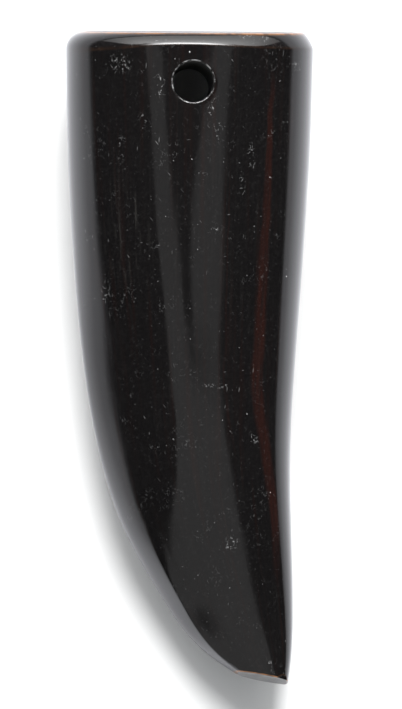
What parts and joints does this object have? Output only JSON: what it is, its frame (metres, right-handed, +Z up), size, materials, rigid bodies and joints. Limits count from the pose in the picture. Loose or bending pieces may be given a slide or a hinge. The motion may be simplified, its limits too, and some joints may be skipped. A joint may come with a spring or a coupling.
{
  "type": "drilled horn tusk pendant",
  "caption": "Curved tusk pendant in solid polished black horn, with a flat bevelled wide end, a front-to-back cord hole near it, and an obliquely cut tip.",
  "frame": {"origin": "on the ground under the middle of the part's box, with the pendant lying on its back", "axes": "+Z up out of the polished front, +Y along the length to the wide sawn end, +X to the side that the tip sweeps to"},
  "size_m": [0.0247, 0.0663, 0.0195],
  "materials": {
    "horn": "polished"
  },
  "bodies": {
    "root": {"horn_tusk": "horn"}
  },
  "joints": []
}
